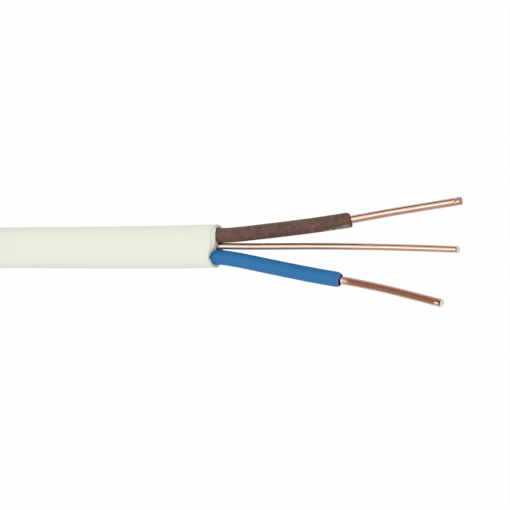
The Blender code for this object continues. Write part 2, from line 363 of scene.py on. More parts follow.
def strap_line(holds_lead):
    """The strap's middle and outward normal, in radius and height, from the head round the coil's section."""
    inside = bore_radius - SEAT_GAP
    outside = coil_radius + SEAT_GAP
    corners = [(head_middle, strap_floor), (outside, strap_floor), (outside, TIE_THICKNESS)]
    if holds_lead:
        lead_side = lead_radius + SHEATH_THICKNESS / 2 + SEAT_GAP
        corners[2:] = [(lead_side, coil_bottom + sheath_width), (lead_side, TIE_THICKNESS)]
    corners += [(inside, TIE_THICKNESS), (inside, strap_floor), (head_middle, strap_floor)]
    corners = [Vector(corner) for corner in corners]
    line = [(corners[0] + Vector((0, TIE_THICKNESS / 2)), Vector((0, 1)))]
    for before, corner, after in zip(corners, corners[1:], corners[2:]):
        into = (corner - before).normalized()
        away = (after - corner).normalized()
        bend = into.angle(away)
        arm = Vector((-into.y, into.x))
        middle = corner - into * TIE_CORNER * math.tan(bend / 2) - arm * TIE_CORNER
        for i in range(TIE_CORNER_STEPS + 1):
            normal = Matrix.Rotation(-bend * i / TIE_CORNER_STEPS, 2) @ arm
            line.append((middle + normal * (TIE_CORNER + TIE_THICKNESS / 2), normal))
    line.append((corners[-1] + Vector((0, TIE_THICKNESS / 2)), Vector((0, 1))))
    return line


def strap_section():
    """Half the strap's section, mirrored: flat inside, a raised rim along each edge outside."""
    half, skin = TIE_WIDTH / 2, TIE_THICKNESS / 2
    right = [
        (half - TIE_ROUNDING, -skin), (half, TIE_ROUNDING - skin), (half, skin - TIE_ROUNDING),
        (half - TIE_ROUNDING, skin), (half - TIE_RIM, skin),
        (half - TIE_RIM - TIE_CHANNEL, skin - TIE_CHANNEL),
    ]
    return right + [(-a, b) for a, b in reversed(right)]


def pick(kind, test):
    """Selects the open piece's faces, edges or corners that pass a test of their middle and direction."""
    bpy.ops.mesh.select_mode(type=kind[:-1].upper())
    shape = bmesh.from_edit_mesh(bpy.context.edit_object.data)
    for group in (shape.verts, shape.edges, shape.faces):
        for part in group:
            part.select = False
    if kind == "faces":
        chosen = [face for face in shape.faces if test(face.calc_center_median(), face.normal)]
    elif kind == "edges":
        ends = [(edge, *(vert.co for vert in edge.verts)) for edge in shape.edges]
        chosen = [edge for edge, start, end in ends if test((start + end) / 2, end - start)]
    else:
        chosen = [vert for vert in shape.verts if test(vert.co, vert.normal)]
    for part in chosen:
        part.select_set(True)
    bmesh.update_edit_mesh(bpy.context.edit_object.data)


def block(name, low, high):
    """A block between two corners, open in edit mode."""
    bpy.ops.object.select_all(action="DESELECT")
    middle = (Vector(low) + Vector(high)) / 2
    bpy.ops.mesh.primitive_cube_add(size=1.0, location=middle, scale=Vector(high) - Vector(low))
    piece = bpy.context.object
    piece.name = name
    bpy.ops.object.transform_apply(location=True, rotation=True, scale=True)
    bpy.ops.object.mode_set(mode="EDIT")
    return piece


def recess(test, low, high, depth):
    """Insets the face that passes a test to a rectangle between two corners, and sinks it by depth."""
    pick("faces", test)
    bpy.ops.mesh.inset(thickness=0.5 * MM)
    shape = bmesh.from_edit_mesh(bpy.context.edit_object.data)
    for face in shape.faces:
        if face.select:
            middle = face.calc_center_median()
            for vert in face.verts:
                for axis in range(3):
                    if high[axis] > low[axis]:
                        vert.co[axis] = high[axis] if vert.co[axis] > middle[axis] else low[axis]
    bmesh.update_edit_mesh(bpy.context.edit_object.data)
    bpy.ops.mesh.extrude_region_move(TRANSFORM_OT_translate={"value": depth})


def tie_head():
    half = HEAD_WIDTH / 2
    top = head_floor + HEAD_HEIGHT
    start, end = head_middle - HEAD_LENGTH / 2, head_middle + HEAD_LENGTH / 2
    head = block("tie_head", (start, -half, head_floor), (end, half, top))
    # The head narrows a little towards its top, and its upright and upper edges are rounded.
    pick("faces", lambda middle, normal: normal.z > 0.9)
    bpy.ops.transform.resize(value=HEAD_TAPER, center_override=(head_middle, 0, 0))
    pick("edges", lambda middle, run: middle.z > head_floor + NEAR)
    bpy.ops.mesh.bevel(offset=HEAD_ROUNDING, segments=3, affect="EDGES")
    slot_low = head_floor + STUB_HEIGHT - SLOT_ROOM_ABOVE
    slot_high = slot_low + TIE_THICKNESS + 2 * SLOT_ROOM_ABOVE
    slot_half = TIE_WIDTH / 2 + SLOT_ROOM_BESIDE
    for direction in (1, -1):
        recess(
            lambda middle, normal: normal.x * direction > 0.9 and abs(middle.y) < NEAR,
            (0, -slot_half, slot_low), (0, slot_half, slot_high), (-SLOT_DEPTH * direction, 0, 0),
        )
    recess(
        lambda middle, normal: normal.z > 0.99 and middle.z > top - NEAR,
        (head_middle - WINDOW_BACK, -WINDOW_HALF_WIDTH, 0),
        (head_middle + WINDOW_FRONT, WINDOW_HALF_WIDTH, 0), (0, 0, -WINDOW_DEPTH),
    )
    # The pawl slopes down inside the window.
    window_floor = top - WINDOW_DEPTH
    pick("verts", lambda place, normal: abs(place.z - window_floor) < SAME_PLACE and place.x > head_middle)
    bpy.ops.transform.translate(value=(0, 0, PAWL_RISE))
    bpy.ops.object.mode_set(mode="OBJECT")
    return head


def tie_stub():
    """The strap's cut end beyond the head, with the teeth that the pawl holds."""
    half = TIE_WIDTH / 2
    start, end = head_middle, head_middle + HEAD_LENGTH / 2 + STUB_LENGTH
    low = head_floor + STUB_HEIGHT
    stub = block("tie_stub", (start, -half, low), (end, half, low + TIE_THICKNESS))
    # The cutters left the end a little askew.
    pick("verts", lambda place, normal: place.x > end - NEAR and place.y > 0)
    bpy.ops.transform.translate(value=(-STUB_SKEW, 0, 0))
    pick("edges", lambda middle, run: abs(run.x) > half)
    cuts = 2 * round((end - start) / TOOTH_PITCH) - 1
    bpy.ops.mesh.subdivide(number_cuts=cuts)
    shape = bmesh.from_edit_mesh(stub.data)
    step = (end - start) / (cuts + 1)
    for vert in shape.verts:
        if vert.co.z < low + NEAR and round((vert.co.x - start) / step) % 2:
            vert.co.z += TOOTH_DEPTH
    bmesh.update_edit_mesh(stub.data)
    bpy.ops.object.mode_set(mode="OBJECT")
    return stub


def nylon():
    """Natural nylon: cloudy, with a fine grain from its mould."""
    group, given = group_of("moulded nylon", Vector="Vector", Clear="Color", Cloudy="Color")
    clouds = noise_field(group, given["Vector"], 240.0, 3.0)
    colour = blend(group, ranged(group, clouds, 0.3, 0.7), given["Clear"], given["Cloudy"])
    grain = noise_field(group, given["Vector"], 1800.0, 3.0)
    put_out(group, colour, ranged(group, grain, 0.0, 1.0, 0.24, 0.44), grain, 0.2, 0.05 * MM)
    values = {"Clear": opaque((0.66, 0.66, 0.60)), "Cloudy": opaque((0.76, 0.76, 0.71))}
    return surfaced("natural nylon", group, values)[0]


tie_nylon = nylon()
for number in range(TIE_COUNT):
    line = strap_line(number == 0)
    loops = [
        [Vector((middle.x + normal.x * b, a, middle.y + normal.y * b)) for a, b in strap_section()]
        for middle, normal in line
    ]
    tie_lengths = run_lengths([Vector((middle.x, 0, middle.y)) for middle, normal in line])
    tie = swept(f"nylon_tie_{number + 1}", loops, tie_lengths)
    for part in (tie_head(), tie_stub()):
        union = tie.modifiers.new(part.name, "BOOLEAN")
        union.operation = "UNION"
        union.object = part
        bpy.context.view_layer.objects.active = tie
        bpy.ops.object.modifier_apply(modifier=union.name)
        bpy.data.objects.remove(part, do_unlink=True)
    tie.data.shade_smooth()
    tie.data.set_sharp_from_angle(angle=math.radians(35))
    before_release = TIE_BEFORE_RELEASE_DEGREES + number * TIE_SPACING_DEGREES
    round_coil = math.radians(-90 - RELEASE_DEGREES - before_release)
    tie.data.transform(Matrix.Translation(coil_centre) @ Matrix.Rotation(round_coil, 4, "Z"))
    tie.data.materials.clear()
    tie.data.materials.append(tie_nylon)
    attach(tie, "root")
    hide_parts(f"cable_tie_{number + 1}")

# The free run: the same sheath from the tie that holds it on the coil, twisting from its edge down onto its
# flat face, straight on to the cut. A knife scored the upper wall and the rest tore, so that wall slopes
# forward over the brown core, and it tore back in a notch over the blue one.
FLAT_RUN = 72.0 * MM
TWIST_RUN = 95.0 * MM
END_SWING_RUN = 24.0 * MM
END_SWING = math.radians(1.3)
RUN_STATION = 2.5 * MM
FINE_STEPS = 10
RIM_STEPS = 16
release_angle = math.radians(RELEASE_DEGREES)


def free_run(start):
    """Places, headings and rolls back from the cut to the seam under the first tie."""
    bend_run = 2 * release_angle * lead_radius
    straight_run = FLAT_RUN + TWIST_RUN - bend_run
    whole_run = FLAT_RUN + TWIST_RUN + math.radians(SEAM_DEGREES) * lead_radius
    stations = round(whole_run / RUN_STATION)
    step = whole_run / stations / FINE_STEPS
    place = start.copy()
    made = []
    for i in range(stations * FINE_STEPS + 1):
        run = i * step
        into_bend = run - straight_run
        if into_bend < 0:
            heading = END_SWING * max(0.0, 1 - run / END_SWING_RUN)
        elif into_bend < bend_run:
            heading = -into_bend ** 2 / (2 * bend_run * lead_radius)
        else:
            heading = -release_angle - (into_bend - bend_run) / lead_radius
        turned = eased((run - FLAT_RUN) / TWIST_RUN)
        roll = ON_EDGE * turned
        raised = (sheath_width - SHEATH_THICKNESS) / 2 * math.sin(roll)
        height = raised + SHEATH_THICKNESS / 2 + coil_bottom * turned
        tangent = Vector((math.cos(heading), math.sin(heading), 0.0))
        if i % FINE_STEPS == 0:
            made.append((place + Vector((0, 0, height)), tangent, roll))
        place = place - tangent * step
    return made[::-1]


# The run ends round the coil, so its start there gives how far the cut lies from the coil's centre.
seam_place, seam_heading = free_run(Vector((0, 0, 0)))[0][:2]
to_coil = seam_place + Vector((0, 0, 1)).cross(seam_heading) * lead_radius
mouth = Vector((coil_centre.x - to_coil.x, coil_centre.y - to_coil.y, 0.0))
run_stations = free_run(mouth)
run_line = [place for place, heading, roll in run_stations]
run_section = oval(sheath_width, SHEATH_THICKNESS, RIM_STEPS)
run_loops = [section_at(place, heading, run_section, roll) for place, heading, roll in run_stations[:-2]]
run_spans = run_lengths(run_line)[:-2]
cut_place, cut_heading = run_stations[-1][:2]


def through(points, x):
    """A smooth line through points, given in millimetres, straight beyond the last one."""
    points = [(a * MM, b * MM) for a, b in points]
    if x <= points[0][0]:
        return points[0][1]
    slopes = [0.0]
    for before, after in zip(points, points[2:]):
        slopes.append((after[1] - before[1]) / (after[0] - before[0]))
    slopes.append((points[-1][1] - points[-2][1]) / (points[-1][0] - points[-2][0]))
    for (x0, y0), (x1, y1), s0, s1 in zip(points, points[1:], slopes, slopes[1:]):
        if x <= x1:
            span = x1 - x0
            t = (x - x0) / span
            return (
                y0 * (1 + 2 * t) * (1 - t) ** 2 + s0 * span * t * (1 - t) ** 2
                + y1 * t * t * (3 - 2 * t) - s1 * span * t * t * (1 - t)
            )
    return points[-1][1] + slopes[-1] * (x - points[-1][0])


def between(points, x):
    """A straight-lined profile through points, given in millimetres, level beyond its ends."""
    points = [(a * MM, b * MM) for a, b in points]
    for (x0, y0), (x1, y1) in zip(points, points[1:]):
        if x <= x1:
            return y0 + (y1 - y0) * max(0.0, (x - x0) / (x1 - x0))
    return points[-1][1]


# How far the cut face reaches, across the sheath from the blue core's side to the brown one's: at the upper
# wall's outer edge, where the knife went in, at its inner edge, where it tore, and along the lower wall.
knife_edge = (
    (-5.0, 0.1), (-4.1, -0.25), (-2.5, -0.47), (-1.95, -0.43), (-0.6, 0.08), (0.2, 0.18), (3.6, 0.22),
    (4.2, 0.45), (5.0, 0.78),
)
torn_edge = (
    (-4.3, -0.1), (-3.6, -0.22), (-2.55, -0.52), (-2.0, -0.48), (-0.55, 0.56), (-0.3, 0.7), (0.35, 0.96),
    (1.0, 1.16), (3.6, 1.12), (4.0, 0.88), (4.3, 0.72),
)
lower_edge = ((-5.0, 0.15), (5.0, 0.8))
RAGGED = 0.06 * MM


def cut_reach(a, b, torn):
    """How far the cut face reaches at a point of the section, torn from 0 at the knife's edge to 1."""
    above = eased(0.5 + b / CAVITY_THICKNESS)
    reach = between(knife_edge, a) * (1 - torn) + between(torn_edge, a) * torn
    ragged = RAGGED * noise.noise(Vector((a * 1100, b * 700, torn * 3)))
    return above * reach + (1 - above) * between(lower_edge, a) + ragged


# The rim's loops from the skin to the cavity: how far each lies through the wall, how torn it is there, and
# how far it stays back. The knife left a faint groove behind its cut, the tear has a step halfway down, and
# the last loop closes the end round the cores, since the vinyl fills the gaps between them.
rim_steps = (
    (0.0, 0.0, 1.3), (0.0, 0.0, 0.6), (0.09, 0.0, 0.42), (0.0, 0.0, 0.24), (0.0, 0.0, 0.06), (0.08, 0.0, 0.0),
    (0.28, 0.14, 0.0), (0.5, 0.45, 0.0), (0.58, 0.72, 0.0), (0.75, 0.86, 0.0), (0.94, 1.0, 0.0),
    (1.0, 1.0, 0.07), (1.0, 1.0, 0.3), (2.9, 1.0, 0.1),
)
RIM_SPAN = 0.4 * MM
cut_side = Vector((-cut_heading.y, cut_heading.x, 0.0))
for inward, torn, back in rim_steps:
    width = sheath_width + (CAVITY_WIDTH - sheath_width) * inward
    thickness = SHEATH_THICKNESS + (CAVITY_THICKNESS - SHEATH_THICKNESS) * inward
    loop = []
    for a, b in oval(width, thickness, RIM_STEPS):
        reach = cut_reach(a, b, torn) - back * MM
        loop.append(cut_place + cut_heading * reach + cut_side * a + Vector((0, 0, b)))
    run_loops.append(loop)
    run_spans.append(run_spans[-1] + RIM_SPAN)
free_sheath = swept("free_sheath", run_loops, run_spans)
free_sheath.data.materials.append(sheath_vinyl)
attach(free_sheath, "root")
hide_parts("tail_sheath")

# The brown core: vinyl drawn over the line conductor and stripped back with the knife, so its end has a
# rounded shoulder. Its skin is mottled with small grey scuffs, and a pale painted highlight runs along its
# lower side near the end.
CORE_PITCH = 2.54 * MM
INSULATION_RADIUS = 1.71 * MM
SEAT_DEPTH = 12.0 * MM
BROWN_LENGTH = 34.5 * MM
LINE_BARE = 26.8 * MM
BROWN_BORE = 0.96 * MM
brown_spread = (
    (-5.0, 0.0), (0.6, -0.09), (4.5, 0.02), (9.2, 0.4), (19.4, 1.42), (31.9, 2.88), (44.2, 4.73), (61.0, 7.02)
)
GUIDE_STEPS = 90
SKIN_STATION = 0.5 * MM
FINE_END = 1.7 * MM
BORE_SHOWN = 3.0 * MM
END_ZONE = 2.5 * MM
CUT_ZONE = 1.5 * MM
END_ROUNDING = 0.1 * MM
END_DENT = 0.04 * MM
CUT_WAVE = 0.08 * MM


def core_line(side, spread, end, rest_height, rest_at):
    """A guide curve for a core, from its seat in the sheath to its tip."""
    guide = bpy.data.curves.new("guide", "CURVE")
    guide.dimensions = "3D"
    guide.twist_mode = "Z_UP"
    line = guide.splines.new("POLY")
    line.points.add(GUIDE_STEPS)
    for i, point in enumerate(line.points):
        x = -SEAT_DEPTH + (end + SEAT_DEPTH) * i / GUIDE_STEPS
        sink = eased(x / rest_at)
        height = SHEATH_THICKNESS / 2 * (1 - sink) + rest_height * sink
        inside = min(x, 0.0)
        swung = END_SWING * inside * (1 + inside / (2 * END_SWING_RUN))
        point.co = (mouth.x + x, mouth.y + side * CORE_PITCH + swung + through(spread, x), height, 1.0)
    return new_object("guide", guide)


def rod(name, radius, length, sides):
    """A straight rod along +X from the origin, open in edit mode."""
    bpy.ops.object.select_all(action="DESELECT")
    bpy.ops.mesh.primitive_cylinder_add(
        vertices=sides, radius=radius, depth=length, location=(length / 2, 0, 0), rotation=(0, math.pi / 2, 0)
    )
    piece = bpy.context.object
    piece.name = name
    bpy.ops.object.transform_apply(location=True, rotation=True, scale=True)
    bpy.ops.object.mode_set(mode="EDIT")
    return piece


def bend_along(piece, guide):
    """Closes the edit, bends the rod along its guide curve and removes the guide."""
    bpy.ops.object.mode_set(mode="OBJECT")
    bend = piece.modifiers.new("bend", "CURVE")
    bend.object = guide
    bend.deform_axis = "POS_X"
    bpy.context.view_layer.objects.active = piece
    piece.select_set(True)
    bpy.ops.object.modifier_apply(modifier="bend")
    bpy.data.objects.remove(guide, do_unlink=True)
    bpy.ops.object.shade_smooth_by_angle(angle=math.radians(50))


def on_end(middle, run, end):
    """Whether an edge lies in the end face of a rod along +X."""
    return middle.x > end - SAME_PLACE and abs(run.x) < SAME_PLACE


def insulation(name, length, bore, guide, roughened, lean, shoulder):
    """A core's vinyl: a tube, its bore showing at the stripped end, with a leaning cut and a round shoulder.

    The lean is how far the cut reaches along, more towards +Y, more at the top and less below. The shoulder
    is how deep and how long the rounding is, on the +Y side and on the other one.
    """
    whole = SEAT_DEPTH + length
    along, sideways, upwards, under = lean
    left_depth, left_run, right_depth, right_run = shoulder
    wall = INSULATION_RADIUS - bore
    rim = 0.93 * INSULATION_RADIUS
    piece = rod(name, INSULATION_RADIUS, whole, 48)
    pick("faces", lambda middle, normal: normal.x > 0.9)
    bpy.ops.mesh.inset(thickness=wall)
    bpy.ops.mesh.extrude_region_move(TRANSFORM_OT_translate={"value": (-BORE_SHOWN, 0, 0)})
    pick("edges", lambda middle, run: on_end(middle, run, whole) and middle.yz.length > rim)
    bpy.ops.mesh.bevel(offset=END_ROUNDING, segments=2, affect="EDGES")
    pick("edges", lambda middle, run: abs(run.x) > 0.5 * whole)
    bpy.ops.mesh.subdivide(number_cuts=int(whole / SKIN_STATION))
    pick("edges", lambda middle, run: middle.x > whole - FINE_END and 0.6 < abs(run.x) / SKIN_STATION < 2)
    bpy.ops.mesh.subdivide(number_cuts=3)
    shape = bmesh.from_edit_mesh(piece.data)
    for vert in shape.verts:
        skin = vert.co.yz.length
        side, height = vert.co.y / skin, vert.co.z / skin
        near = eased((vert.co.x - (whole - END_ZONE)) / END_ZONE)
        if skin > bore * 1.05:
            fine, broad = noise.noise(vert.co * 900), noise.noise(vert.co * 260)
            rough = fine * roughened + broad * roughened * 1.5
            left = (1 + side) / 2
            run = right_run + (left_run - right_run) * left
            depth = right_depth + (left_depth - right_depth) * left
            rounded = depth * max(0.0, 1 - (whole - vert.co.x) / run) ** 2 * (skin - bore) / wall
            dent = END_DENT * near * noise.noise(Vector((3.0, side, height)) * 0.9)
            vert.co.y *= 1 + (rough + dent - rounded) / skin
            vert.co.z *= 1 + (rough + dent - rounded) / skin
        leaned = along + sideways * side + (upwards if height > 0 else under) * height
        wave = noise.noise(Vector((side * 1.6, height * 1.6, length * 900)))
        vert.co.x += near * (leaned + CUT_WAVE * wave)
    shape.normal_update()
    for face in shape.faces:
        if face.normal.x > 0.35 and face.calc_center_median().x > whole - CUT_ZONE:
            face.material_index = 1
    bmesh.update_edit_mesh(piece.data)
    bend_along(piece, guide)
    return piece


BROWN_LEAN = (0.25 * MM, -0.14 * MM, 0.22 * MM, 0.6 * MM)
BROWN_SHOULDER = (0.45 * MM, 1.1 * MM, 0.35 * MM, 0.45 * MM)
BROWN_ROUGHNESS = 0.012 * MM
BROWN_COLOURS = ((0.178, 0.087, 0.064), (0.1, 0.048, 0.035), (0.29, 0.215, 0.19))
BROWN_CUT_COLOURS = ((0.2, 0.085, 0.058), (0.16, 0.06, 0.04), (0.24, 0.13, 0.1))
# The third set of colours is a pale grey painted highlight, laid along the core's lower side near its end.
BROWN_HIGHLIGHT_COLOURS = ((0.3, 0.25, 0.23), (0.2, 0.15, 0.13), (0.42, 0.38, 0.36))
line_length = BROWN_LENGTH + LINE_BARE
brown_guide = core_line(1, brown_spread, line_length, INSULATION_RADIUS, BROWN_LENGTH)
brown_core = insulation(
    "brown_core", BROWN_LENGTH, BROWN_BORE, brown_guide, BROWN_ROUGHNESS, BROWN_LEAN, BROWN_SHOULDER
)
brown_vinyl = vinyl_material("brown vinyl", BROWN_COLOURS, (0.55, 0.9, 0.42, 0.5), 0.3)
brown_cut = vinyl_material("cut brown vinyl", BROWN_CUT_COLOURS, (0.3, 0.6, 0.5, 0.3), 0.3)
brown_painted_highlight = vinyl_material("pale painted highlight, brown core", BROWN_HIGHLIGHT_COLOURS, (0.5, 0.8, 0.5, 0.3), 0.3)
for material in (brown_vinyl, brown_cut, brown_painted_highlight):
    brown_core.data.materials.append(material)

# A pale strip of painted highlight runs along its lower side near the end, with a short break in the middle.
STRIP_LENGTH = 6.5 * MM
STRIP_PAST_END = 0.2 * MM
SKIP_START, SKIP_END = 3.4 * MM, 4.1 * MM
for face in brown_core.data.polygons:
    before_end = mouth.x + BROWN_LENGTH - face.center.x
    low_side = -0.66 + 0.25 * noise.noise(face.center * 700) - (0.2 if before_end > SKIP_START else 0.0)
    highlighted = -STRIP_PAST_END < before_end < STRIP_LENGTH and not SKIP_START < before_end < SKIP_END
    if highlighted and face.material_index == 0 and face.normal.z > -0.1 and face.normal.y < low_side:
        face.material_index = 2
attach(brown_core, "root")
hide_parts("brown_insulation")

# The blue core: the same vinyl on the neutral conductor, smoother, since it came out of the sheath cleanly.
# Its bore opened when it was pulled off, so a gap shows round the copper, and a ring of painted shadow
# darkens the copper in it.
BLUE_LENGTH = 32.4 * MM
NEUTRAL_BARE = 24.95 * MM
BLUE_BORE = 1.28 * MM
BLUE_LEAN = (0.02 * MM, 0.12 * MM, 0.1 * MM, 0.3 * MM)
BLUE_SHOULDER = (0.46 * MM, 1.4 * MM, 0.36 * MM, 1.5 * MM)
BLUE_ROUGHNESS = 0.004 * MM
BLUE_COLOURS = ((0.018, 0.16, 0.42), (0.02, 0.17, 0.39), (0.06, 0.22, 0.46))
BLUE_CUT_COLOURS = ((0.09, 0.155, 0.43), (0.1, 0.15, 0.4), (0.17, 0.24, 0.46))
blue_spread = (
    (0.0, 0.0), (5.3, -0.55), (14.3, -2.15), (24.4, -3.92), (35.9, -5.71), (44.2, -7.23), (56.7, -9.98)
)
neutral_length = BLUE_LENGTH + NEUTRAL_BARE
blue_guide = core_line(-1, blue_spread, neutral_length, INSULATION_RADIUS, BLUE_LENGTH)
blue_core = insulation(
    "blue_core", BLUE_LENGTH, BLUE_BORE, blue_guide, BLUE_ROUGHNESS, BLUE_LEAN, BLUE_SHOULDER
)
blue_vinyl = vinyl_material("blue vinyl", BLUE_COLOURS, (0.15, 0.5, 0.42, 0.08), 0.25)
blue_cut = vinyl_material("cut blue vinyl", BLUE_CUT_COLOURS, (0.3, 0.5, 0.5, 0.2), 0.25)
for material in (blue_vinyl, blue_cut):
    blue_core.data.materials.append(material)
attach(blue_core, "root")
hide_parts("blue_insulation")

# The conductors: solid drawn copper with fine lines along it. The line and the earth are bright; the neutral
# is duller, more tarnished in patches and darker in a streak along its top. Side cutters cropped each tip and
# squeezed its upper edge up a little, so it has a small burr, a nick beside it and a dished, freshly cut
# face.
# The earth's and the neutral's cut faces are paled nearly to white as painted highlight, the line's is
# darkened as painted shade, and the neutral's copper has a ring of painted shadow and one of painted
# highlight at its vinyl.
CONDUCTOR_RADIUS = 0.89 * MM
EARTH_RADIUS = 0.73 * MM
EARTH_BARE = 59.9 * MM
WIRE_STATION = 0.8 * MM
WIRE_WAVE = 0.004 * MM
TIP_LENGTH = 2.4 * MM
TIP_EDGE = 0.12 * MM
TIP_PROUD = 0.08 * MM
TIP_DISH = 0.12 * MM
NICK_FROM_END = 0.95 * MM
NICK_HALF_LENGTH = 0.4 * MM
SCRAPE_START, SCRAPE_END = 0.5 * MM, 1.5 * MM
DEEPEST_SCRAPE = 0.1 * MM
BURR_LENGTH, BURR_RISE = 0.36 * MM, 0.33 * MM
DRAWN_STRETCH = (60.0, 2600.0, 2600.0)
earth_spread = ((0.0, 0.0), (9.2, -0.11), (24.4, -0.1), (35.7, -0.21), (48.6, -0.49), (60.0, -0.87))


def drawn_copper():
    """A shader group for drawn copper: its tarnish in patches and its draw lines."""
    group, given = group_of(
        "drawn copper", Vector="Vector", Bright="Color", Tarnished="Color", Tarnish="Float", Dullness="Float"
    )
    place = given["Vector"]
    stretched = new_node(group, "Mapping", {"Vector": place, "Scale": DRAWN_STRETCH}).outputs["Vector"]
    lines = noise_field(group, stretched, 1.0, 3.0)
    patches = noise_field(group, place, 170.0, 5.0)
    share = calculated(group, "MULTIPLY_ADD", patches, 0.9, given["Tarnish"], use_clamp=True)
    colour = blend(group, share, given["Bright"], given["Tarnished"])
    rough = calculated(group, "MULTIPLY_ADD", lines, 0.14, given["Dullness"])
    put_out(group, colour, rough, lines, 0.09, 0.06 * MM)
    return group


copper_skin = drawn_copper()


def copper_material(name, bright, tarnished, tarnish, dullness):
    values = dict(Bright=opaque(bright), Tarnished=opaque(tarnished), Tarnish=tarnish, Dullness=dullness)
    material, shader = surfaced(name, copper_skin, values)
    shader.inputs["Metallic"].default_value = 1.0
    return material


def tint(material, colour, share):
    """Mixes a colour over a material's own, by a share from 0 to 1."""
    tree = material.node_tree
    base = tree.nodes["Principled BSDF"].inputs["Base Color"]
    tree.links.new(blend(tree, share, base.links[0].from_socket, opaque(colour)), base)


def streak_and_painted_rings(material, rings, streak, turn, start, run):
    """Marks on a conductor: a dark streak, a turn from its top and grown over a run, then painted shadow and
    highlight rings.
    """
    tree = material.node_tree
    place = new_node(tree, "UVMap", uv_map="round").outputs["UV"]
    middle = (math.sin(turn), math.cos(turn), 0.0)
    facing = new_node(tree, "VectorMath", {0: place, 1: middle}, operation="DOT_PRODUCT").outputs["Value"]
    across = ranged(tree, facing, 0.72, 0.96, interpolation_type="SMOOTHSTEP")
    where = new_node(tree, "TexCoord").outputs["Object"]
    along = new_node(tree, "SeparateXYZ", {"Vector": where}).outputs["X"]
    tint(material, streak, calculated(tree, "MULTIPLY", across, ranged(tree, along, start, start + run)))
    for ring, half, colour in rings:
        tint(material, colour, calculated(tree, "COMPARE", along, ring, half))


bright_copper = copper_material("bright copper", (0.93, 0.66, 0.53), (0.80, 0.50, 0.38), -0.1, 0.08)
# The cut faces' colour is fresh-cut copper paled nearly to white, a painted highlight.
cut_copper_painted_highlight = copper_material("copper cut face, painted highlight", (1.0, 0.94, 0.88), (0.98, 0.87, 0.79), 0.0, 0.3)
scraped_copper = copper_material("scraped copper", (0.97, 0.78, 0.64), (0.85, 0.58, 0.46), -0.1, 0.3)
# The line's cut face is darkened copper, painted shade.
line_cut_painted_shade = copper_material("line cut face, painted shade", (0.62, 0.40, 0.31), (0.46, 0.27, 0.21), 0.0, 0.3)
neutral_copper_painted_light = copper_material("neutral copper, painted light", (0.97, 0.64, 0.51), (0.85, 0.53, 0.41), 0.0, 0.38)
# A near-black ring of painted shadow on the copper, in the gap at the blue vinyl's mouth.
PAINTED_SHADOW_RING = (mouth.x + 31.95 * MM, 0.27 * MM, (0.02, 0.02, 0.02))
# A pale cream ring of painted highlight on the copper, just past the blue vinyl.
PAINTED_HIGHLIGHT_RING = (mouth.x + 32.45 * MM, 0.22 * MM, (1.0, 0.86, 0.7))
STREAK = (0.32, 0.137, 0.083)
STREAK_TURN = math.radians(2)
STREAK_START = mouth.x + 33.2 * MM
STREAK_GROWTH = 1.2 * MM
# The neutral's copper takes a dark streak along its top and the rings of painted shadow and painted
# highlight.
streak_and_painted_rings(
    neutral_copper_painted_light, (PAINTED_SHADOW_RING, PAINTED_HIGHLIGHT_RING), STREAK, STREAK_TURN, STREAK_START, STREAK_GROWTH
)


def conductor(name, node, radius, length, guide, nick, burr_height, materials):
    """A solid conductor, its nick given by a turn from +Y and a depth.

    Its materials are for the skin, the cut face and, where the nick is only a scrape, that.
    """
    nick_turn, nick_depth = nick
    whole = SEAT_DEPTH + length
    piece = rod(name, radius, whole, 32)
    pick("edges", lambda middle, run: abs(run.x) > 0.5 * whole)
    bpy.ops.mesh.subdivide(number_cuts=int(whole / WIRE_STATION))
    pick("edges", lambda middle, run: middle.x > whole - TIP_LENGTH and abs(run.x) > 0.5 * WIRE_STATION)
    bpy.ops.mesh.subdivide(number_cuts=7)
    pick("faces", lambda middle, normal: normal.x > 0.9)
    bpy.ops.mesh.inset(thickness=TIP_EDGE)
    bpy.ops.transform.translate(value=(TIP_PROUD, 0, 0))
    bpy.ops.mesh.inset(thickness=radius * 0.25)
    bpy.ops.mesh.inset(thickness=radius * 0.3)
    shape = bmesh.from_edit_mesh(piece.data)
    round_map = shape.loops.layers.uv.new("round")
    side = Vector((0, math.cos(nick_turn), math.sin(nick_turn)))
    for face in shape.faces:
        middle = face.calc_center_median()
        on_scrape = SCRAPE_START < whole - middle.x < SCRAPE_END and middle.dot(side) > 0.8 * radius
        if face.normal.x > 0.5 and middle.x > whole:
            face.material_index = 1
        elif nick_depth < DEEPEST_SCRAPE and on_scrape:
            face.material_index = 2
        for corner in face.loops:
            corner[round_map].uv = corner.vert.co.yz / radius
    for vert in shape.verts:
        skin = vert.co.yz.length
        facing = vert.co.dot(side) / radius
        from_end = whole - vert.co.x
        if skin < 0.75 * radius:
            vert.co.x -= TIP_DISH * (1 - skin / radius) * (1 + facing)
            continue
        nicked = eased(facing * 2 - 1) * eased(1 - abs(from_end - NICK_FROM_END) / NICK_HALF_LENGTH)
        squeezed = eased((BURR_LENGTH - from_end) / BURR_RISE) * eased(0.2 + vert.co.z / radius)
        wave = WIRE_WAVE * noise.noise(vert.co * 420)
        swell = burr_height * squeezed + wave - nick_depth * nicked
        vert.co.y *= 1 + swell / skin
        vert.co.z *= 1 + swell / skin
    bmesh.update_edit_mesh(piece.data)
    bend_along(piece, guide)
    for material in materials:
        piece.data.materials.append(material)
    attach(piece, "root")
    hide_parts(node)
    return piece


line_guide = core_line(1, brown_spread, line_length, INSULATION_RADIUS, BROWN_LENGTH)
neutral_guide = core_line(-1, blue_spread, neutral_length, INSULATION_RADIUS, BLUE_LENGTH)
earth_guide = core_line(0, earth_spread, EARTH_BARE, EARTH_RADIUS, EARTH_BARE)
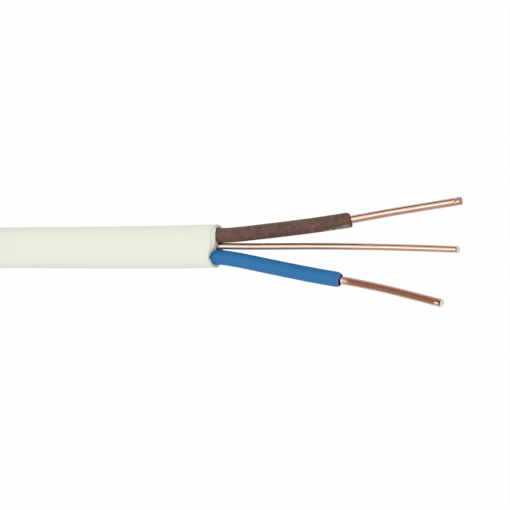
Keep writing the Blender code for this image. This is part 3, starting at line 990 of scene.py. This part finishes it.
# The line's cut face takes the darkened copper of painted shade.
line_wire = conductor(
    "line_wire", "line_conductor", CONDUCTOR_RADIUS, line_length, line_guide,
    (math.radians(60), 0.2 * MM), 0.04 * MM, (bright_copper, line_cut_painted_shade),
)
neutral_wire = conductor(
    "neutral_wire", "neutral_conductor", CONDUCTOR_RADIUS, neutral_length, neutral_guide,
    (math.radians(125), 0.04 * MM), 0.12 * MM, (neutral_copper_painted_light, cut_copper_painted_highlight, scraped_copper),
)
earth_wire = conductor(
    "earth_wire", "earth_conductor", EARTH_RADIUS, EARTH_BARE, earth_guide,
    (math.radians(-30), 0.2 * MM), 0.12 * MM, (bright_copper, cut_copper_painted_highlight),
)

# The coil's inner end: cropped square, so the two cores and the earth show flush in the sheath, one above
# another. Each conductor's face stands a little proud of its vinyl.
END_CORE = 4.0 * MM
END_CORE_ROUNDING = 0.15 * MM
END_COPPER_EDGE = 0.04 * MM
END_COPPER_PROUD = 0.12 * MM
out_of_coil = (coil_line[0] - coil_line[1]).normalized()
to_inside = Matrix.Translation(coil_line[0] - out_of_coil * END_CORE)
to_inside = to_inside @ out_of_coil.to_track_quat("X", "Z").to_matrix().to_4x4()


def end_core(name, radius, copper_radius, height, materials):
    """A short length of core in the coil's inner end, with its conductor's face in its own end."""
    piece = rod(name, radius, END_CORE, 28)
    pick("edges", lambda middle, run: on_end(middle, run, END_CORE))
    bpy.ops.mesh.bevel(offset=END_CORE_ROUNDING, segments=2, affect="EDGES")
    pick("faces", lambda middle, normal: normal.x > 0.99)
    vinyl_face = radius - END_CORE_ROUNDING - copper_radius
    for inset, proud in ((vinyl_face, 0.0), (END_COPPER_EDGE, END_COPPER_PROUD)):
        if inset > 0.0:
            bpy.ops.mesh.inset(thickness=inset, depth=proud)
    bpy.ops.object.mode_set(mode="OBJECT")
    for material in materials:
        piece.data.materials.append(material)
    for face in piece.data.polygons:
        face.material_index = len(materials) - 1 if face.center.x > END_CORE + SAME_PLACE else 0
    piece.data.transform(to_inside @ Matrix.Translation((0, 0, height)))
    piece.data.shade_smooth()
    piece.data.set_sharp_from_angle(angle=math.radians(40))
    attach(piece, "root")


for colour, material, height in (("brown", brown_vinyl, CORE_PITCH), ("blue", blue_vinyl, -CORE_PITCH)):
    end_core(
        f"inner_{colour}_core", INSULATION_RADIUS, CONDUCTOR_RADIUS, height, (material, bright_copper),
    )
end_core("inner_earth", EARTH_RADIUS, EARTH_RADIUS, 0.0, (bright_copper,))

run_lengths(run_line)[-1]

# The floor is a plain white ground, wide enough for every side of the part. It shows plain white, throws soft
# light back up at the part, and looks dark in the copper, as the shaded ground under real wires does.
FLOOR_SIZE = 14.0
GROUND_WHITE = 0.992
GROUND_BOUNCE = 0.8
GROUND_IN_GLOSS = 0.75


def grey(tone):
    return (tone, tone, tone, 1.0)


bpy.ops.object.select_all(action="DESELECT")
bpy.ops.mesh.primitive_plane_add(size=FLOOR_SIZE, location=(0, 0, 0))
floor = bpy.context.object
floor.name = "floor"
ground, ground_tree, ground_shader = new_material("pale ground")
ground_shader.inputs["Roughness"].default_value = 1.0
ground_shader.inputs["Specular IOR Level"].default_value = 0.0
ground_path = new_node(ground_tree, "LightPath").outputs
ground_tone = blend(ground_tree, ground_path["Is Glossy Ray"], grey(GROUND_BOUNCE), grey(GROUND_IN_GLOSS))
ground_tree.links.new(ground_tone, ground_shader.inputs["Base Color"])
ground_glow = new_node(ground_tree, "Emission", {"Strength": GROUND_WHITE}).outputs["Emission"]
ground_kinds = {"Fac": ground_path["Is Camera Ray"], 1: ground_shader.outputs["BSDF"], 2: ground_glow}
ground_seen = new_node(ground_tree, "MixShader", ground_kinds).outputs["Shader"]
ground_tree.links.new(ground_seen, ground_tree.nodes["Material Output"].inputs["Surface"])
ground.cycles.emission_sampling = "NONE"
floor.data.materials.append(ground)

# A strip overhead draws the bright line along the wires, a high panel beyond them lights the upper side, and
# a faint low one stands on the near side.
LIGHTS_AIM = Vector((0.11, -0.07, 0))
lights = (
    ("overhead strip", (-0.99, -0.44, 1.86), (0.9, 1.9), 8.0),
    ("far panel", (-0.45, 1.45, 2.0), (2.4, 1.2), 4.2),
    ("near panel", (-0.99, -1.75, 0.85), (1.6, 1.3), 2.4),
)
for name, place, size, power in lights:
    lamp = bpy.data.lights.new(name, "AREA")
    lamp.shape = "RECTANGLE"
    lamp.size, lamp.size_y = size
    lamp.energy = power
    holder = new_object(name, lamp)
    holder.location = place
    holder.rotation_mode = "QUATERNION"
    holder.rotation_quaternion = (LIGHTS_AIM - Vector(place)).to_track_quat("-Z", "Y")

# The room around is soft white, a little lighter on the far side. Mirrored in the copper, it is dark near the
# horizon behind the wires, paler overhead, and bright past their tips.
ROOM_LIGHT = (0.8, 0.93)
ROOM_IN_GLOSS = ((0.0, 0.5), (0.06, 0.07), (0.5, 0.07), (0.68, 0.45), (1.0, 0.6))
ROOM_PAST_TIPS = 0.9
world = bpy.data.worlds.new("studio")
bpy.context.scene.world = world
world.use_nodes = True
room = world.node_tree
room_path = new_node(room, "LightPath").outputs
room_direction = new_node(room, "TexCoord").outputs["Generated"]
facing = new_node(room, "SeparateXYZ", {"Vector": room_direction}).outputs
mirrored = new_node(room, "ValToRGB", {"Fac": facing["Z"]})
tones = mirrored.color_ramp
tones.interpolation = "EASE"
for height, tone in ROOM_IN_GLOSS[1:-1]:
    tones.elements.new(height)
for element, (height, tone) in zip(tones.elements, ROOM_IN_GLOSS):
    element.color = grey(tone)
past_tips = ranged(room, facing["X"], 0.1, 0.5)
all_round = blend(room, past_tips, mirrored.outputs["Color"], grey(ROOM_PAST_TIPS))
room_light = ranged(room, facing["Y"], -1.0, 1.0, *ROOM_LIGHT)
lit = blend(room, room_path["Is Glossy Ray"], room_light, all_round)
seen = blend(room, room_path["Is Camera Ray"], lit, grey(GROUND_WHITE))
room.links.new(seen, room.nodes["Background"].inputs["Color"])
bpy.context.scene.view_settings.view_transform = "Standard"

# The camera looks down on the flat run from past the cut end, tilted back from upright as in the photograph.
CAMERA_DISTANCE = 0.42
CAMERA_TILT = math.radians(30.0)
SENSOR_WIDTH = 36.0
PIXELS = 510
PIXELS_PER_METRE = 4340.0
MOUTH_PIXEL = (215.5, 246.1)
camera_data = bpy.data.cameras.new("camera")
camera_data.sensor_width = SENSOR_WIDTH
focal_pixels = PIXELS_PER_METRE * CAMERA_DISTANCE
camera_data.lens = SENSOR_WIDTH * focal_pixels / PIXELS
camera = new_object("camera", camera_data)
bpy.context.scene.camera = camera
back = Vector((math.sin(CAMERA_TILT), 0, math.cos(CAMERA_TILT)))
right = Vector((math.cos(CAMERA_TILT), 0, -math.sin(CAMERA_TILT)))
up = Vector((0, 1, 0))
target = mouth + Vector((0, 0, SHEATH_THICKNESS / 2))
across, down = (PIXELS / 2 - pixel for pixel in MOUTH_PIXEL)
camera.location = target + (right * across - up * down) / PIXELS_PER_METRE + back * CAMERA_DISTANCE
camera.rotation_mode = "QUATERNION"
camera.rotation_quaternion = Matrix((right, up, back)).transposed().to_quaternion()
